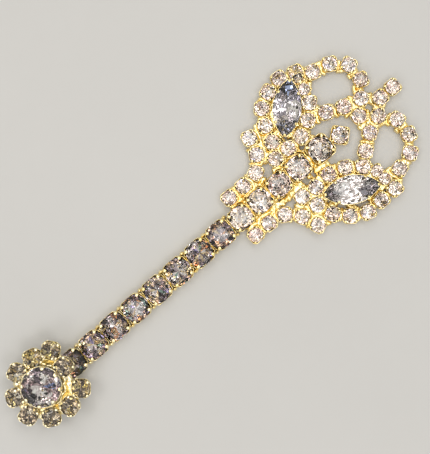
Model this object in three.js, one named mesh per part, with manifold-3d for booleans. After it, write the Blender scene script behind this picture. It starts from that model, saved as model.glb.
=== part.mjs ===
// A costume-jewellery sceptre: clear faceted stones in gold claw settings, soldered flat-backed
// into a flower knob, a one-row shaft and an open head. It lies on the flat backs of its
// settings, face up along +Z, with its head towards +X.

import * as THREE from 'three';
import { mergeVertices } from 'three/addons/utils/BufferGeometryUtils.js';
import Module from 'manifold-3d';

// ---- Driving dimensions (millimetres, degrees) ----

const GAP = 0.06; // between a stone and its seat, and between soldered pieces

// A square claw setting and its round stone. The rim is the height of the seat, and a claw
// has the depth of its root and the height it rises.
const SMALL = { side: 4.0, corner: 0.8, rim: 2.0, claw: [0.4, 0.5], stone: 3.7, crown: 0.75 };
const PETAL = { side: 4.85, corner: 1.15, rim: 2.2, claw: [0.4, 0.6], stone: 4.5, crown: 0.95 };
const SHAFT = {
  side: 6.8, corner: 1.3, rim: 2.6, claw: [0.6, 0.7], stone: 6.3, crown: 1.15, girdle: 0.2,
};
const COLUMN = { side: 6.1, corner: 1.1, rim: 2.5, claw: [0.55, 0.65], stone: 5.7, crown: 1.05 };
const COLUMN_END = { ...COLUMN, side: 6.6 };
const FINIAL = { ...SMALL, side: 4.7, corner: 0.65, stone: 4.1 };

const SQUARE_BASE = 0.86; // a setting's back, as a share of its rim
const TABLE_SHARE = 0.56; // a stone's flat top, as a share of its width
const BIG_GIRDLE = 0.25; // the upright edge of the knob's stone and the navettes
const CLAW_LEAN = 0.3; // how far a claw leans in, as a share of its rise
const CLAW_TIP = 0.45; // the claw's width at its tip, as a share of its width at its root

const STONE_SIDES = 8;
const JOINED_STONE_SIDES = 6; // on the chains that are one piece with their stones
const KNOB_SIDES = 16;
const COLLAR_SIDES = 10;
const NAVETTE_STEPS = 6; // facets along each bowed side of a navette

// The tall setting of the knob, which carries the petals round its waist.
const KNOB = {
  x: -53.4,
  y: 0.9,
  stone: 9.5,
  crown: 2.2,
  claw: [0.36, 0.9],
  rimRadius: 5.25,
  levels: [[0, 0.74], [4.0, 0.8], [6.3, 0.84], [7.3, 1]], // height, share of the rim's radius
};

// The petals, each with its own direction and reach, as they were soldered by hand.
const FLOWER = { x: -53.0, y: 0.3, base: 4.0 };
const PETAL_PLACES = [
  { angle: 6, reach: 6.9 },
  { angle: 40, reach: 9.2 },
  { angle: 72, reach: 7.8 },
  { angle: 112, reach: 7.8 },
  { angle: 158, reach: 7.8 },
  { angle: 199, reach: 8.1 },
  { angle: 241, reach: 7.7 },
  { angle: 282, reach: 7.8 },
  { angle: 317, reach: 9.0 },
];
const COLLAR = { inner: 4.9, outer: 7.2, thick: 0.9 };

const SHAFT_ROW = { x: -44.8, y: 0.2, pitch: 7.1, count: 8 };
const COLUMN_ROW = { x: 11.6, y: 0.05, pitch: 6.42, count: 5 };
const FINIAL_PLACE = { x: 44.3, y: -0.6, turn: 41 };

// The bar of solder between two neighbouring settings.
const BAR = { width: 1.5, thick: 0.9, lift: 0.3 };

// A chain of small settings: its first centre, its pitch and the direction of each link.
// Crowded settings sit lower, tucked under their neighbours. A spur hangs on one link of a ring.
const LEFT = {
  navette: { x: 38.4, y: 13.3, turn: 44 },
  ring: { x: 43.8, y: 10.7, pitch: 4.45, links: [225, 206, 182, 118, 72, 60, 28, 10, -20] },
  crowded: [{ x: 45.1, y: 14.2, turn: 100 }, { x: 45.5, y: 17.0, turn: 96 }],
  spur: { x: 28.0, y: 5.6, turn: 0, joins: 3 },
  shoulder: { x: 12.7, y: 5.8, pitch: 4.6, links: [-1, 6, 46, 72] },
  loop: { x: 45.4, y: 6.1, pitch: 4.8, links: [-24, -15, 50, 88, 136, 164] },
  seam: { from: 10.6, to: 22.6 },
};
const RIGHT = {
  navette: { x: 37.3, y: -12.9, turn: -30 },
  ring: { x: 43.5, y: -10.5, pitch: 4.55, links: [142, 161, 185, 232, 289, 313, 332, 0, 0] },
  crowded: [{ x: 45.5, y: -13.6, turn: 84 }, { x: 45.75, y: -16.4, turn: 88 }],
  spur: { x: 26.8, y: -6.1, turn: 0, joins: 3 },
  shoulder: { x: 11.6, y: -5.7, pitch: 4.5, links: [0, -13, -47, -69] },
  loop: { x: 46.6, y: -7.9, pitch: 4.75, links: [36, 21, -52, -92, -127, -164] },
  seam: { from: 9.8, to: 24.6 },
};
const TUCK = 0.55; // how much lower a crowded setting sits
const NAVETTE = {
  length: 15.4,
  width: 7.5,
  trim: 0.93, // the share of each bowed side that is left when its sharp tips are blunted
  stone: 0.9, // the stone's size, as a share of the setting's
  crown: 1.5,
  claw: [0.3, 0.8],
  levels: [[0, 0.76], [2.9, 0.8], [3.5, 1]], // height, share of the rim's outline
};
const SEAM = { y: 3.25, width: 0.9, thick: 1.1 };

// The upright of the cross at the top of the head: one setting inside, two outside.
const CROSS = { y: -0.15, places: [51.1, 58.25, 62.4], barWidth: 0.9 };

const GOLD = { color: 0xe2bd5a, roughness: 0.24, metalness: 1 };
const CRYSTAL = { color: 0xdfe3ea, roughness: 0.04, metalness: 0 };

const radians = THREE.MathUtils.degToRad;
const manifold = await Module();
manifold.setup();

// ---- Outlines, each anticlockwise seen from above ----

/** A square with cut corners; its odd edges are the cuts, where the claws stand. */
function squareOutline(side, corner) {
  const half = side / 2;
  const straight = half - corner;
  const points = [];
  for (let quarter = 0; quarter < 4; quarter += 1) {
    const centre = new THREE.Vector2();
    for (const across of [-straight, straight]) {
      points.push(new THREE.Vector2(half, across).rotateAround(centre, quarter * Math.PI / 2));
    }
  }
  return points;
}

/** A regular polygon with a flat side towards +X. */
function roundOutline(radius, sides) {
  return Array.from({ length: sides }, (_, index) => {
    const angle = (index - 0.5) * 2 * Math.PI / sides;
    return new THREE.Vector2(Math.cos(angle), Math.sin(angle)).multiplyScalar(radius);
  });
}

/** Two bowed sides that meet in blunted tips, as on a navette. */
function navetteOutline(length, width) {
  const bow = (length ** 2 + width ** 2) / (4 * width);
  const reach = Math.asin(length / 2 / bow) * NAVETTE.trim;
  const points = [];
  for (const side of [1, -1]) {
    for (let step = 0; step <= NAVETTE_STEPS; step += 1) {
      const angle = reach * (1 - 2 * step / NAVETTE_STEPS);
      const across = bow * Math.cos(angle) - (bow - width / 2);
      points.push(new THREE.Vector2(bow * Math.sin(angle) * side, across * side));
    }
  }
  return points;
}

// ---- Solids ----

/** Gathers corners and faces, and gives them back as one indexed geometry. */
class SolidBuilder {
  constructor() {
    this.corners = [];
    this.faces = [];
  }

  corner(point, height) {
    this.corners.push(point.x, point.y, height);
    return this.corners.length / 3 - 1;
  }

  quad(a, b, c, d) {
    this.faces.push(a, b, c, a, c, d);
  }

  /** The upright walls through rings of corners, from the lowest ring to the highest. */
  walls(rings) {
    for (let level = 1; level < rings.length; level += 1) {
      const low = rings[level - 1];
      const high = rings[level];
      low.forEach((corner, index) => {
        const next = (index + 1) % low.length;
        this.quad(corner, low[next], high[next], high[index]);
      });
    }
  }

  /** A flat face over a closed outline, which looks up or down. */
  cap(outline, corners, looksUp) {
    for (const [a, b, c] of THREE.ShapeUtils.triangulateShape(outline, [])) {
      const turned = looksUp ? [a, b, c] : [c, b, a];
      this.faces.push(...turned.map((index) => corners[index]));
    }
  }

  geometry() {
    const geometry = new THREE.BufferGeometry();
    geometry.setAttribute('position', new THREE.Float32BufferAttribute(this.corners, 3));
    geometry.setIndex(this.faces);
    geometry.computeVertexNormals();
    return geometry;
  }
}

/** One ring of corners for each level, a pair of height and scale. */
function levelRings(builder, outline, levels) {
  return levels.map(([height, scale]) => outline.map(
    (point) => builder.corner(point.clone().multiplyScalar(scale), height),
  ));
}

/** A setting with a flat seat, and a claw that leans in over each of the given edges. */
function settingGeometry(outline, clawEdges, levels, [depth, rise]) {
  const builder = new SolidBuilder();
  const rings = levelRings(builder, outline, levels);
  const rim = levels.at(-1)[0];
  const rimRing = rings.at(-1);
  builder.walls(rings);
  builder.cap(outline, rings[0], false);
  const seat = [];
  const seatCorners = [];
  outline.forEach((start, index) => {
    const next = (index + 1) % outline.length;
    const end = outline[next];
    seat.push(start);
    seatCorners.push(rimRing[index]);
    if (!clawEdges.includes(index)) return;
    const along = end.clone().sub(start);
    const inward = new THREE.Vector2(-along.y, along.x).normalize();
    const middle = start.clone().add(end).multiplyScalar(0.5);
    const rootStart = start.clone().lerp(end, 0.08).addScaledVector(inward, depth);
    const rootEnd = start.clone().lerp(end, 0.92).addScaledVector(inward, depth);
    const tip = middle.clone().addScaledVector(inward, depth + rise * CLAW_LEAN);
    const tipStart = tip.clone().addScaledVector(along, -CLAW_TIP / 2);
    const tipEnd = tip.clone().addScaledVector(along, CLAW_TIP / 2);
    const [a, b] = [rimRing[index], rimRing[next]];
    const [innerA, innerB] = [builder.corner(rootStart, rim), builder.corner(rootEnd, rim)];
    const topA = builder.corner(tipStart, rim + rise);
    const topB = builder.corner(tipEnd, rim + rise);
    builder.quad(a, b, topB, topA);
    builder.quad(innerB, innerA, topA, topB);
    builder.faces.push(a, topA, innerA, b, innerB, topB);
    seat.push(rootStart, rootEnd);
    seatCorners.push(innerA, innerB);
  });
  builder.cap(seat, seatCorners, true);
  return builder.geometry();
}

/** A closed solid through the outline at each level. */
function loftGeometry(outline, levels) {
  const builder = new SolidBuilder();
  const rings = levelRings(builder, outline, levels);
  builder.walls(rings);
  builder.cap(outline, rings[0], false);
  builder.cap(outline, rings.at(-1), true);
  return builder.geometry();
}

/** A cut stone: a girdle, which stands upright on a large stone, under a crown with a flat table. */
function stoneGeometry(outline, base, crown, girdle) {
  const top = [base + crown, TABLE_SHARE];
  const levels = girdle > 0 ? [[base, 1], [base + girdle, 1], top] : [[base, 1], top];
  return loftGeometry(outline, levels);
}

/** The square setting of one kind, standing on the level of its back. */
function squareSetting(kind, clawEdges = [1, 3, 5, 7]) {
  const outline = squareOutline(kind.side, kind.corner);
  return settingGeometry(outline, clawEdges, [[0, SQUARE_BASE], [kind.rim, 1]], kind.claw);
}

/** What to cut from a piece that is soldered hard against a setting. */
function settingClearance(kind) {
  const outline = squareOutline(kind.side + 2 * GAP, kind.corner);
  return loftGeometry(outline, [[-GAP, SQUARE_BASE], [kind.rim, 1], [2 * kind.rim, 1]]);
}

/** The round stone of one kind, just above its seat. */
function roundStone(kind) {
  const outline = roundOutline(kind.stone / 2, STONE_SIDES);
  return stoneGeometry(outline, kind.rim + GAP, kind.crown, kind.girdle ?? 0);
}

/** A setting with its stone joined on, for the chains whose stones aren't pieces of their own. */
function stoneSetPieces(kind, place, clawEdges) {
  const outline = roundOutline(kind.stone / 2, JOINED_STONE_SIDES);
  const stone = stoneGeometry(outline, kind.rim - GAP, kind.crown, 0);
  return [placed(squareSetting(kind, clawEdges), place), placed(stone, place)];
}

/** A bar of solder from one centre towards another, buried in the settings at both ends. */
function solderBar(from, to, bar = BAR) {
  const start = new THREE.Vector2(from.x, from.y);
  const run = new THREE.Vector2(to.x, to.y).sub(start);
  const middle = start.clone().addScaledVector(run, 0.5);
  const geometry = new THREE.BoxGeometry(run.length(), bar.width, bar.thick);
  geometry.rotateZ(run.angle());
  return geometry.translate(middle.x, middle.y, bar.lift + bar.thick / 2);
}

/** A copy of a geometry turned about +Z and moved to a place. */
function placed(geometry, { x, y, turn = 0, z = 0 }) {
  return geometry.clone().rotateZ(radians(turn)).translate(x, y, z);
}

// ---- Joining ----

function toManifold(geometry) {
  const bare = new THREE.BufferGeometry();
  bare.setAttribute('position', geometry.getAttribute('position').clone());
  bare.setIndex(geometry.getIndex());
  const merged = mergeVertices(bare, 1e-4);
  return new manifold.Manifold(new manifold.Mesh({
    numProp: 3,
    vertProperties: Float32Array.from(merged.getAttribute('position').array),
    triVerts: Uint32Array.from(merged.getIndex().array),
  }));
}

function fromManifold(solid) {
  const mesh = solid.getMesh();
  const geometry = new THREE.BufferGeometry();
  geometry.setAttribute('position', new THREE.BufferAttribute(mesh.vertProperties, 3));
  geometry.setIndex(new THREE.BufferAttribute(mesh.triVerts, 1));
  geometry.computeVertexNormals();
  return geometry;
}

/** Joins geometries that overlap into one closed body, less whatever the cutters take away. */
function fuse(geometries, cutters = []) {
  let solid = geometries.map(toManifold).reduce((joined, next) => joined.add(next));
  for (const cutter of cutters) {
    solid = solid.subtract(toManifold(cutter));
  }
  return fromManifold(solid);
}

// ---- Layout ----

/** The places of a chain's settings, each turned to the mean of the links beside it. */
function chainPlaces({ x, y, pitch, links }) {
  const places = [{ x, y, turn: links[0] }];
  links.forEach((direction, index) => {
    const last = places.at(-1);
    const after = links[index + 1] ?? direction;
    const bend = THREE.MathUtils.euclideanModulo(after - direction + 180, 360) - 180;
    places.push({
      x: last.x + pitch * Math.cos(radians(direction)),
      y: last.y + pitch * Math.sin(radians(direction)),
      turn: direction + bend / 2,
    });
  });
  return places;
}

function rowPlaces({ x, y, pitch, count }) {
  return Array.from({ length: count }, (_, index) => ({ x: x + pitch * index, y, turn: 0 }));
}

function chainBars(places) {
  return places.slice(1).map((place, index) => solderBar(places[index], place));
}

function petalPlaces() {
  return PETAL_PLACES.map(({ angle, reach }) => ({
    x: FLOWER.x + reach * Math.cos(radians(angle)),
    y: FLOWER.y + reach * Math.sin(radians(angle)),
    z: FLOWER.base,
    turn: angle,
  }));
}

// ---- The sceptre ----

const sceptre = new THREE.Group();

function addPart(name, geometry, look, place = { x: 0, y: 0 }) {
  const mesh = new THREE.Mesh(geometry, new THREE.MeshStandardMaterial(look));
  mesh.name = name;
  mesh.position.set(place.x, place.y, place.z ?? 0);
  mesh.rotation.z = radians(place.turn ?? 0);
  sceptre.add(mesh);
}

function addStones(prefix, kind, places) {
  places.forEach((place, index) => {
    addPart(`${prefix}_stone_${index + 1}`, roundStone(kind), CRYSTAL, place);
  });
}

function addKnob() {
  const outline = roundOutline(KNOB.rimRadius, KNOB_SIDES);
  const everySecondEdge = outline.map((_, index) => index).filter((index) => index % 2 === 0);
  const setting = settingGeometry(outline, everySecondEdge, KNOB.levels, KNOB.claw);
  const rim = KNOB.levels.at(-1)[0];
  const stone = stoneGeometry(roundOutline(KNOB.stone / 2, KNOB_SIDES), rim + GAP, KNOB.crown, BIG_GIRDLE);
  addPart('knob_setting', setting, GOLD, KNOB);
  addPart('knob_stone', stone, CRYSTAL, KNOB);
}

/** The petals on their collar, cut clear of the knob's setting where they crowd it. */
function addPetals() {
  const places = petalPlaces();
  const height = COLLAR.thick + GAP;
  const collar = new THREE.LatheGeometry([
    new THREE.Vector2(COLLAR.inner, 0),
    new THREE.Vector2(COLLAR.outer, 0),
    new THREE.Vector2(COLLAR.outer, COLLAR.thick),
    new THREE.Vector2(COLLAR.inner, COLLAR.thick),
    new THREE.Vector2(COLLAR.inner, 0),
  ], COLLAR_SIDES).rotateX(Math.PI / 2);
  const waist = roundOutline(KNOB.rimRadius * 0.84 + GAP, KNOB_SIDES);
  const clearance = loftGeometry(waist, [[-height, 1], [2 * height + PETAL.rim, 1]]);
  const parts = [
    placed(collar, { x: FLOWER.x, y: FLOWER.y, z: FLOWER.base + COLLAR.thick }),
    ...places.map((place) => placed(squareSetting(PETAL), place)),
  ];
  const cutter = placed(clearance, { x: KNOB.x, y: KNOB.y, z: FLOWER.base });
  addPart('petal_settings', fuse(parts, [cutter]), GOLD);
  addStones('petal', PETAL, places);
}

function addRow(name, kinds, places) {
  const settings = places.map((place, index) => placed(squareSetting(kinds[index]), place));
  addPart(`${name}_settings`, fuse([...settings, ...chainBars(places)]), GOLD);
  places.forEach((place, index) => {
    addPart(`${name}_stone_${index + 1}`, roundStone(kinds[index]), CRYSTAL, place);
  });
}

function addWing(side, wing, sign) {
  const ring = chainPlaces(wing.ring);
  const lowSmall = { ...SMALL, rim: SMALL.rim - TUCK };
  const ringParts = [
    ...[...ring, wing.spur].flatMap((place) => stoneSetPieces(SMALL, place)),
    ...wing.crowded.flatMap((place) => stoneSetPieces(lowSmall, place, [])),
    ...chainBars(ring),
    solderBar(wing.spur, ring[wing.spur.joins]),
  ];
  const loop = chainPlaces(wing.loop);
  const cutters = [loop[0], loop.at(-1)].map((place) => placed(settingClearance(SMALL), place));
  addPart(`${side}_navette_ring`, fuse(ringParts, cutters), GOLD);

  const outline = navetteOutline(NAVETTE.length, NAVETTE.width);
  const tip = NAVETTE_STEPS;
  const claws = [1, tip - 2, tip, tip + 2, 2 * tip - 1, 2 * tip + 1];
  const setting = settingGeometry(outline, claws, NAVETTE.levels, NAVETTE.claw);
  const stoneOutline = outline.map((point) => point.clone().multiplyScalar(NAVETTE.stone));
  const rim = NAVETTE.levels.at(-1)[0];
  const stone = stoneGeometry(stoneOutline, rim + GAP, NAVETTE.crown, BIG_GIRDLE);
  addPart(`${side}_navette_setting`, setting, GOLD, wing.navette);
  addPart(`${side}_navette_stone`, stone, CRYSTAL, wing.navette);

  const shoulder = chainPlaces(wing.shoulder);
  const seamY = sign * (SEAM.y + SEAM.width / 2);
  const seamBar = { width: SEAM.width, thick: SEAM.thick, lift: BAR.lift };
  const seam = solderBar({ x: wing.seam.from, y: seamY }, { x: wing.seam.to, y: seamY }, seamBar);
  const shoulderCups = shoulder.flatMap((place) => stoneSetPieces(SMALL, place));
  const shoulderParts = [...shoulderCups, ...chainBars(shoulder), seam];
  addPart(`${side}_shoulder_chain`, fuse(shoulderParts), GOLD);

  const loopSettings = loop.map((place) => placed(squareSetting(SMALL), place));
  addPart(`${side}_loop_settings`, fuse([...loopSettings, ...chainBars(loop)]), GOLD);
  addStones(`${side}_loop`, SMALL, loop);
}

function addCross() {
  const places = CROSS.places.map((x) => ({ x, y: CROSS.y, turn: 0 }));
  const bar = { ...BAR, width: CROSS.barWidth };
  const settings = places.map((place) => placed(squareSetting(SMALL), place));
  const bars = [solderBar(places[0], places[1], bar), solderBar(places[1], places[2])];
  addPart('cross_settings', fuse([...settings, ...bars]), GOLD);
  addStones('cross', SMALL, places);
}

addKnob();
addPetals();
const shaftPlaces = rowPlaces(SHAFT_ROW);
addRow('shaft', shaftPlaces.map(() => SHAFT), shaftPlaces);
const columnPlaces = [...rowPlaces(COLUMN_ROW), FINIAL_PLACE];
addRow('column', [COLUMN, COLUMN, COLUMN, COLUMN, COLUMN_END, FINIAL], columnPlaces);
addWing('left', LEFT, 1);
addWing('right', RIGHT, -1);
addCross();

// The origin is under the middle of the whole.
const middle = new THREE.Box3().setFromObject(sceptre).getCenter(new THREE.Vector3());
sceptre.position.set(-middle.x, -middle.y, 0);
sceptre.updateMatrixWorld(true);

export default sceptre;
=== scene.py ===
"""Models and dresses the sceptre: cut stones held by claws in gold cups, soldered into a flower
knob, a one-row shaft and an open head, lying on a pale floor under soft lamps.

Each piece is made in millimetres at the origin and then set in its place in metres.
"""

import logging
import math
import random
from contextlib import contextmanager
from dataclasses import dataclass
from enum import Enum
from typing import Any, Callable, Iterator, Sequence, Union

import bmesh
import bpy
from mathutils import Matrix, Vector


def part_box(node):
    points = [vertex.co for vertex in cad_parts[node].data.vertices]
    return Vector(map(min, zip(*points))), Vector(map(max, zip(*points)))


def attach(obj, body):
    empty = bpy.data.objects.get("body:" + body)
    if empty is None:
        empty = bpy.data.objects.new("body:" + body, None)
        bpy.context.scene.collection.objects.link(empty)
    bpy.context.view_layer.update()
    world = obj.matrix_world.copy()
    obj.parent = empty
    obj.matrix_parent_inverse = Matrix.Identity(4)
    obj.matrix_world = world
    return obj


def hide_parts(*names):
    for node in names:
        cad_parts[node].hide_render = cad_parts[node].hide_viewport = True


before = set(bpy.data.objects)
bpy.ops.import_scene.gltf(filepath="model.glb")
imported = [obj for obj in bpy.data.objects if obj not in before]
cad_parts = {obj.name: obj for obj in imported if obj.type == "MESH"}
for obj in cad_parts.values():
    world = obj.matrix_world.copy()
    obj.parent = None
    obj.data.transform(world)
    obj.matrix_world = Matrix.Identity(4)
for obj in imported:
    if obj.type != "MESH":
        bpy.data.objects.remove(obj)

log = logging.getLogger("sceptre")

Piece = bpy.types.Object
Rgb = tuple[float, float, float]

MM = 0.001  # a millimetre, in metres
ROOT = "root"
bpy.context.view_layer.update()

SEED = 41
SEAT_GAP = 0.06  # between a stone and the rim that it rests on
TABLE_SHARE = 0.56  # a stone's flat top, as a share of its width
FLAT = 0.9  # how much of a face's normal points one way before the face counts as facing it
BACK_DEPTH = 0.43  # how deep a round stone's back is, as a share of its width
BACK_ROOM = 0.3  # what is left under it at least
SHARP = 0.6  # the angle in radians over which a setting's edges are bevelled
CLAW_THICK = 0.16
CLAW_THICK_PER_SIDE = 0.04
CLAW_OVERLAP = 0.075  # how far a claw reaches over a stone's edge, as a share of its width
CLAW_FOOT = 0.4  # how far a claw's foot reaches down, as a share of the rim's height
MERGE = 0.004  # corners of a cut stone that lie closer than this are one
# The attribute with each foiled facet's painted reflection colour.
PAINTED_REFLECTION = "foil_painted_reflection"


class Slot(Enum):
    """Two labels for the finishes, passed to deliver, which does not use them."""

    GOLD = "gold_metal"
    STONE = "clear_stone"


# ---- The bench: holding, marking and shaping ----


@dataclass(frozen=True)
class Place:
    """Where a piece stands: the middle of its back in millimetres, and its turn in degrees."""

    x: float
    y: float
    turn: float = 0.0
    z: float = 0.0

    def matrix(self) -> Matrix:
        """The move and turn into the row frame, down to metres."""
        spot = Matrix.Translation(self.spot() * MM)
        return spot @ Matrix.Rotation(math.radians(self.turn), 4, "Z") @ Matrix.Scale(MM, 4)

    def spot(self) -> Vector:
        """The place without its turn."""
        return Vector((self.x, self.y, self.z))

    def lifted(self, height: float) -> "Place":
        """The same place, higher by a height."""
        return Place(self.x, self.y, self.turn, self.z + height)


class Bench:
    """The maker's hands."""

    @staticmethod
    def hold(*pieces: Piece) -> None:
        """Selects these pieces alone, with the first one active."""
        bpy.ops.object.select_all(action="DESELECT")
        for piece in pieces:
            piece.select_set(True)
        bpy.context.view_layer.objects.active = pieces[0]

    @staticmethod
    def settle(piece: Piece) -> None:
        """Puts a piece's place, turn and size into its mesh."""
        Bench.hold(piece)
        bpy.ops.object.transform_apply(location=True, rotation=True, scale=True)

    @staticmethod
    def block(size: Sequence[float], middle: Sequence[float]) -> Piece:
        """Adds a block to be shaped.

        Args:
            size: its length, width and height.
            middle: its middle.

        Returns:
            The block, with its size in its mesh.
        """
        bpy.ops.mesh.primitive_cube_add(size=1.0, location=middle)
        piece = bpy.context.object
        piece.scale = size
        Bench.settle(piece)
        return piece

    @staticmethod
    @contextmanager
    def edit(piece: Piece, kind: str = "FACE") -> Iterator[None]:
        """Holds a piece in edit mode.

        Args:
            piece: the piece to shape.
            kind: what is picked on it: FACE, EDGE or VERT.
        """
        Bench.hold(piece)
        bpy.ops.object.mode_set(mode="EDIT")
        bpy.ops.mesh.select_mode(type=kind)
        yield
        bpy.ops.object.mode_set(mode="OBJECT")

    @staticmethod
    def pick(kind: str, test: Callable[[Any], bool]) -> None:
        """Selects the parts of the piece in edit mode that pass a test.

        Args:
            kind: faces, edges or verts.
            test: what a part has to pass.
        """
        bpy.ops.mesh.select_all(action="DESELECT")
        shape = bmesh.from_edit_mesh(bpy.context.object.data)
        shape.normal_update()
        for part in getattr(shape, kind):
            if test(part):
                part.select_set(True)
        shape.select_flush_mode()
        bmesh.update_edit_mesh(bpy.context.object.data)

    @staticmethod
    def is_back(face: bmesh.types.BMFace) -> bool:
        """Tells the flat back of a setting."""
        return face.normal.z < -FLAT

    @staticmethod
    def is_top(face: bmesh.types.BMFace) -> bool:
        """Tells the flat top of a setting from the inset of its back."""
        return face.normal.z > FLAT and face.calc_center_median().z > 1

    @staticmethod
    def extrude(x: float = 0.0, y: float = 0.0, z: float = 0.0) -> None:
        """Pulls the picked faces out by a move."""
        bpy.ops.mesh.extrude_region_move(TRANSFORM_OT_translate={"value": (x, y, z)})

    @staticmethod
    def widen(share: float, tall: float = 1.0) -> None:
        """Sizes what is picked about the upright axis."""
        bpy.ops.transform.resize(value=(share, share, tall), center_override=(0.0, 0.0, 0.0))

    @staticmethod
    def modify(piece: Piece, kind: str, **settings: Any) -> None:
        """Adds a modifier of a kind with its settings, and applies it."""
        modifier = piece.modifiers.new(kind.title(), kind)
        for name, value in settings.items():
            setattr(modifier, name, value)
        Bench.hold(piece)
        bpy.ops.object.modifier_apply(modifier=modifier.name)

    @staticmethod
    def smooth(piece: Piece, angle: float = 35.0) -> None:
        """Shades a piece smooth, but for edges sharper than an angle in degrees."""
        Bench.hold(piece)
        bpy.ops.object.shade_smooth_by_angle(angle=math.radians(angle))

    @staticmethod
    def copy(master: Piece, spot: Matrix) -> Piece:
        """Copies a piece, with a mesh of its own, to a spot."""
        twin = master.copy()
        twin.data = master.data.copy()
        bpy.context.scene.collection.objects.link(twin)
        twin.matrix_world = spot
        return twin

    @staticmethod
    def join(pieces: Sequence[Piece]) -> Piece:
        """Joins pieces into the first one and settles it."""
        Bench.hold(*pieces)
        if len(pieces) > 1:
            bpy.ops.object.join()
        Bench.settle(pieces[0])
        return pieces[0]

    @staticmethod
    def dress(piece: Piece, *materials: bpy.types.Material) -> None:
        """Gives a piece its materials, in the order of its faces' numbers."""
        for material in materials:
            piece.data.materials.append(material)

    @staticmethod
    def deliver(piece: Piece, name: str, slot: Slot, *nodes: str) -> Piece:
        """Names a finished piece and hangs it on the frame.

        Args:
            piece: the finished piece, settled in the row frame.
            name: its name.
            slot: not used.
            nodes: the CAD nodes that it stands for.

        Returns:
            The piece.
        """
        piece.name = name
        piece.data.name = name
        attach(piece, ROOT)
        if nodes:
            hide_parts(*nodes)
        log.info("%s: %d faces", name, len(piece.data.polygons))
        return piece


# ---- Shaders ----


class Signal:
    """One output of a shader node, for arithmetic."""

    def __init__(self, shader: "Shader", socket: bpy.types.NodeSocket) -> None:
        self.shader = shader
        self.socket = socket

    def __add__(self, other: "Value") -> "Signal":
        """This plus another value."""
        return self.shader.maths("ADD", self, other)

    def __sub__(self, other: "Value") -> "Signal":
        """This less another value."""
        return self.shader.maths("SUBTRACT", self, other)

    def __mul__(self, other: "Value") -> "Signal":
        """This times another value."""
        return self.shader.maths("MULTIPLY", self, other)

    def __radd__(self, other: "Value") -> "Signal":
        """Another value plus this."""
        return self.shader.maths("ADD", other, self)

    def __rsub__(self, other: "Value") -> "Signal":
        """Another value less this."""
        return self.shader.maths("SUBTRACT", other, self)

    def __rmul__(self, other: "Value") -> "Signal":
        """Another value times this."""
        return self.shader.maths("MULTIPLY", other, self)

    def held(self) -> "Signal":
        """This, held between 0 and 1."""
        return self.shader.maths("ADD", self, 0.0, use_clamp=True)

    def step(self, start: float, end: float) -> "Signal":
        """A slope from 0 where this is at start to 1 where it is at end."""
        return ((self - start) * (1.0 / (end - start))).held()


Value = Union[Signal, float]


class Shader:
    """A material's nodes around one Principled shader."""

    def __init__(self, name: str) -> None:
        self.material = bpy.data.materials.new(name)
        self.material.use_nodes = True
        self.tree = self.material.node_tree
        self.surface = self.tree.nodes["Principled BSDF"]

    def node(self, kind: str, settings: dict[str, Any], sockets: dict[Any, Any]) -> bpy.types.Node:
        """Adds a node.

        Args:
            kind: the node's type, after ShaderNode.
            settings: its own settings, which are set first.
            sockets: values or signals for its inputs, by name or number.

        Returns:
            The node.
        """
        node = self.tree.nodes.new("ShaderNode" + kind)
        for name, value in settings.items():
            setattr(node, name, value)
        for key, value in sockets.items():
            self.feed(node, key, value)
        return node

    def feed(self, node: bpy.types.Node, key: Any, value: Any) -> None:
        """Sets or links the input of a node that has a name or number and is in use."""
        if isinstance(key, int):
            socket = node.inputs[key]
        else:
            socket = next(s for s in node.inputs if s.name == key and s.enabled)
        if isinstance(value, Signal):
            self.tree.links.new(value.socket, socket)
        else:
            socket.default_value = value

    def out(self, node: bpy.types.Node, number: int = 0) -> Signal:
        """One output of a node, counted among those in use."""
        return Signal(self, [socket for socket in node.outputs if socket.enabled][number])

    def maths(self, operation: str, *values: Value, use_clamp: bool = False) -> Signal:
        """A Math node on values."""
        settings = {"operation": operation, "use_clamp": use_clamp}
        return self.out(self.node("Math", settings, dict(enumerate(values))))

    def vector(self, operation: str, *values: Any) -> Signal:
        """A Vector Math node on vectors."""
        return self.out(self.node("VectorMath", {"operation": operation}, dict(enumerate(values))))

    def mix(self, share: Value, first: Any, second: Any) -> Signal:
        """A colour between two others."""
        return self.blend("MIX", share, first, second)

    def blend(self, blend_type: str, share: Value, first: Any, second: Any) -> Signal:
        """Two colours blended in one of the Mix node's ways."""
        ends = {"A": self.colour(first), "B": self.colour(second)}
        settings = {"data_type": "RGBA", "blend_type": blend_type}
        return self.out(self.node("Mix", settings, {"Factor": share, **ends}))

    @staticmethod
    def colour(value: Any) -> Any:
        """A colour with its alpha, or the signal as it is."""
        return value if isinstance(value, Signal) else (*value, 1.0)

    def spot(self) -> Signal:
        """Where a point is on the finished piece, in metres."""
        return self.out(self.node("TexCoord", {}, {}), 3)

    def axis(self, number: int) -> Signal:
        """A point's own X, Y or Z, in millimetres."""
        parts = self.node("SeparateXYZ", {}, {"Vector": self.spot()})
        return self.out(parts, number) * (1.0 / MM)

    def cloud(self, grain: float, detail: float = 2.0) -> Signal:
        """Soft noise with a grain in millimetres."""
        sockets = {"Vector": self.spot(), "Scale": 1.0 / (grain * MM), "Detail": detail}
        return self.out(self.node("TexNoise", {}, sockets))

    def bump(self, height: Signal, depth: float, strength: float) -> Signal:
        """A relief of a depth in millimetres."""
        sockets = {"Strength": strength, "Distance": depth * MM, "Height": height}
        return self.out(self.node("Bump", {}, sockets))

    def finish(self, **inputs: Any) -> bpy.types.Material:
        """Feeds the Principled shader, with underscores for the spaces in its sockets' names."""
        for name, value in inputs.items():
            self.feed(self.surface, name.replace("_", " "), value)
        return self.material


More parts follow.
